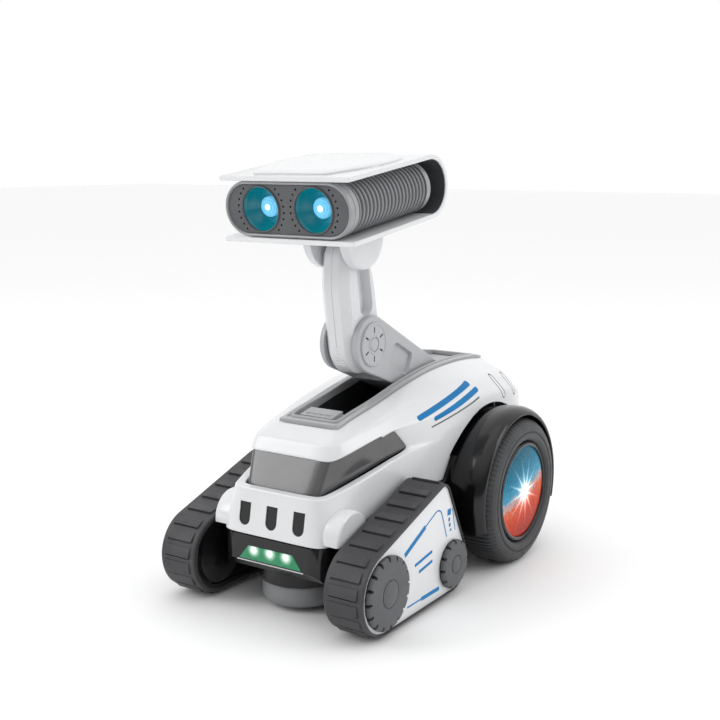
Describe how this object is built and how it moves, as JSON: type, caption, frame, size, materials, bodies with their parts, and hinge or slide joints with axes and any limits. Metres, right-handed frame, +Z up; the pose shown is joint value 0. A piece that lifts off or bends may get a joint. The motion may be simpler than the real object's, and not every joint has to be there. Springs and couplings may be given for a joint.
{
  "type": "toy robot car",
  "caption": "Toy rover with big rear wheels, fixed track pods, a swivelling drive drum under the nose and a folding arm with a twin-eyed head.",
  "frame": {"origin": "on the ground in the middle of the overall box", "axes": "+Z up, the front faces -Y, the rover's own left is +X"},
  "size_m": [0.133, 0.1942, 0.2165],
  "materials": {
    "shell_white": "gloss moulded",
    "visor_smoke": "smoked, gloss",
    "trim_grey": "satin",
    "well_black": "satin",
    "chassis_black": "gloss",
    "insert_black": "matt",
    "light_green": "lit lens",
    "board_green": "circuit board",
    "fender_black": "gloss",
    "belt_rubber": "matt ribbed",
    "led_white": "lit",
    "cell_steel": "sleeved",
    "contact_steel": "plated",
    "pin_steel": "plain",
    "switch_black": "matt",
    "arm_grey": "satin",
    "neck_white": "gloss",
    "tube_charcoal": "ribbed",
    "bezel_grey": "satin paint on plastic",
    "face_charcoal": "satin",
    "eye_teal": "moulded reflector",
    "led_blue": "lit",
    "drum_grey": "satin",
    "gear_nylon": "plain nylon",
    "tyre_rubber": "matt fine ridges",
    "rim_black": "gloss",
    "lens_clear": "shiny lens",
    "disc_grey": "satin"
  },
  "bodies": {
    "chassis": {"chassis_base": "chassis_black", "body_shell": "shell_white", "window_visor": "visor_smoke", "top_trim": "trim_grey", "arm_well": "well_black", "grille_insert": "insert_black", "light_bar_lens": "light_green", "nose_led_board": "board_green", "fenders": "fender_black", "track_inner_covers": "chassis_black", "track_belt_left": "belt_rubber", "track_belt_right": "belt_rubber", "track_plate_left": "shell_white", "track_plate_right": "shell_white", "hub_led_boards": "board_green", "hub_leds": "led_white", "battery_cells": "cell_steel", "battery_contacts": "contact_steel", "battery_door": "chassis_black", "main_board": "board_green", "speaker": "insert_black", "body_screws": "contact_steel", "shoulder_pin": "pin_steel"},
    "switch": {"power_switch": "switch_black"},
    "lower_arm": {"lower_arm_left": "arm_grey", "lower_arm_right": "arm_grey", "elbow_pin": "pin_steel"},
    "upper_arm": {"upper_arm_left": "shell_white", "upper_arm_right": "shell_white"},
    "neck": {"neck_bracket": "neck_white", "neck_pin": "pin_steel", "pan_screw": "pin_steel"},
    "head": {"head_wrap": "shell_white", "head_tube": "tube_charcoal", "head_bezel": "bezel_grey", "head_rear_cap": "bezel_grey", "face_plate": "face_charcoal", "eye_reflectors": "eye_teal", "eye_leds": "led_blue", "head_board": "board_green"},
    "wheel_left": {"rear_tyre_left": "tyre_rubber", "rear_rim_left": "rim_black", "rear_lens_left": "lens_clear"},
    "wheel_right": {"rear_tyre_right": "tyre_rubber", "rear_rim_right": "rim_black", "rear_lens_right": "lens_clear"},
    "front_disc_l": {"front_disc_left": "disc_grey"},
    "front_disc_r": {"front_disc_right": "disc_grey"},
    "rear_disc_l": {"rear_disc_left": "disc_grey"},
    "rear_disc_r": {"rear_disc_right": "disc_grey"},
    "drum": {"drum_cup": "drum_grey", "drum_cap": "drum_grey", "drive_motor": "contact_steel"},
    "drive_wheels": {"drive_axle": "pin_steel", "axle_gear": "gear_nylon", "drive_hubs": "gear_nylon", "drive_tyres": "tyre_rubber"},
    "idler": {"idler_gear": "gear_nylon"},
    "pinion": {"motor_pinion": "gear_nylon"}
  },
  "joints": [
    {"name": "shoulder", "type": "hinge", "parent": "chassis", "child": "lower_arm", "pos_m": [0, 0.048, 0.093], "axis": [1, 0, 0], "range_deg": [-35, 18]},
    {"name": "elbow", "type": "hinge", "parent": "lower_arm", "child": "upper_arm", "pos_m": [0, -0.0143, 0.122], "axis": [-1, 0, 0], "range_deg": [-45, 50]},
    {"name": "neck_tilt", "type": "hinge", "parent": "upper_arm", "child": "neck", "pos_m": [0, -0.02217, 0.16468], "axis": [1, 0, 0], "range_deg": [-30, 30]},
    {"name": "head_pan", "type": "hinge", "parent": "neck", "child": "head", "pos_m": [0, -0.02444, 0.18082], "axis": [0, -0.1392, 0.9903], "range_deg": [-75, 75]},
    {"name": "wheel_left_spin", "type": "hinge", "parent": "chassis", "child": "wheel_left", "pos_m": [0.056, 0.0498, 0.039], "axis": [1, 0, 0], "continuous": true},
    {"name": "wheel_right_spin", "type": "hinge", "parent": "chassis", "child": "wheel_right", "pos_m": [-0.056, 0.0498, 0.039], "axis": [1, 0, 0], "continuous": true},
    {"name": "front_disc_left_spin", "type": "hinge", "parent": "chassis", "child": "front_disc_l", "pos_m": [0.06, -0.0758, 0.0217], "axis": [1, 0, 0], "continuous": true},
    {"name": "front_disc_right_spin", "type": "hinge", "parent": "chassis", "child": "front_disc_r", "pos_m": [-0.06, -0.0758, 0.0217], "axis": [1, 0, 0], "continuous": true},
    {"name": "rear_disc_left_spin", "type": "hinge", "parent": "chassis", "child": "rear_disc_l", "pos_m": [0.06, -0.0155, 0.0173], "axis": [1, 0, 0], "continuous": true},
    {"name": "rear_disc_right_spin", "type": "hinge", "parent": "chassis", "child": "rear_disc_r", "pos_m": [-0.06, -0.0155, 0.0173], "axis": [1, 0, 0], "continuous": true},
    {"name": "drum_swivel", "type": "hinge", "parent": "chassis", "child": "drum", "pos_m": [0, -0.059, 0.018], "axis": [0, 0, 1], "continuous": true},
    {"name": "drive_spin", "type": "hinge", "parent": "drum", "child": "drive_wheels", "pos_m": [0, -0.059, 0.008], "axis": [1, 0, 0], "continuous": true},
    {"name": "idler_spin", "type": "hinge", "parent": "drum", "child": "idler", "pos_m": [0.008, -0.0545, 0.014], "axis": [1, 0, 0], "continuous": true},
    {"name": "pinion_spin", "type": "hinge", "parent": "drum", "child": "pinion", "pos_m": [0.006, -0.059, 0.02], "axis": [1, 0, 0], "continuous": true},
    {"name": "power_switch_slide", "type": "slide", "parent": "chassis", "child": "switch", "axis": [0, 1, 0], "range_m": [-0.003, 0.003]}
  ],
  "couplings": [
    {"joint": "idler_spin", "follows": "drive_spin", "ratio": -2},
    {"joint": "pinion_spin", "follows": "drive_spin", "ratio": 5.5}
  ]
}
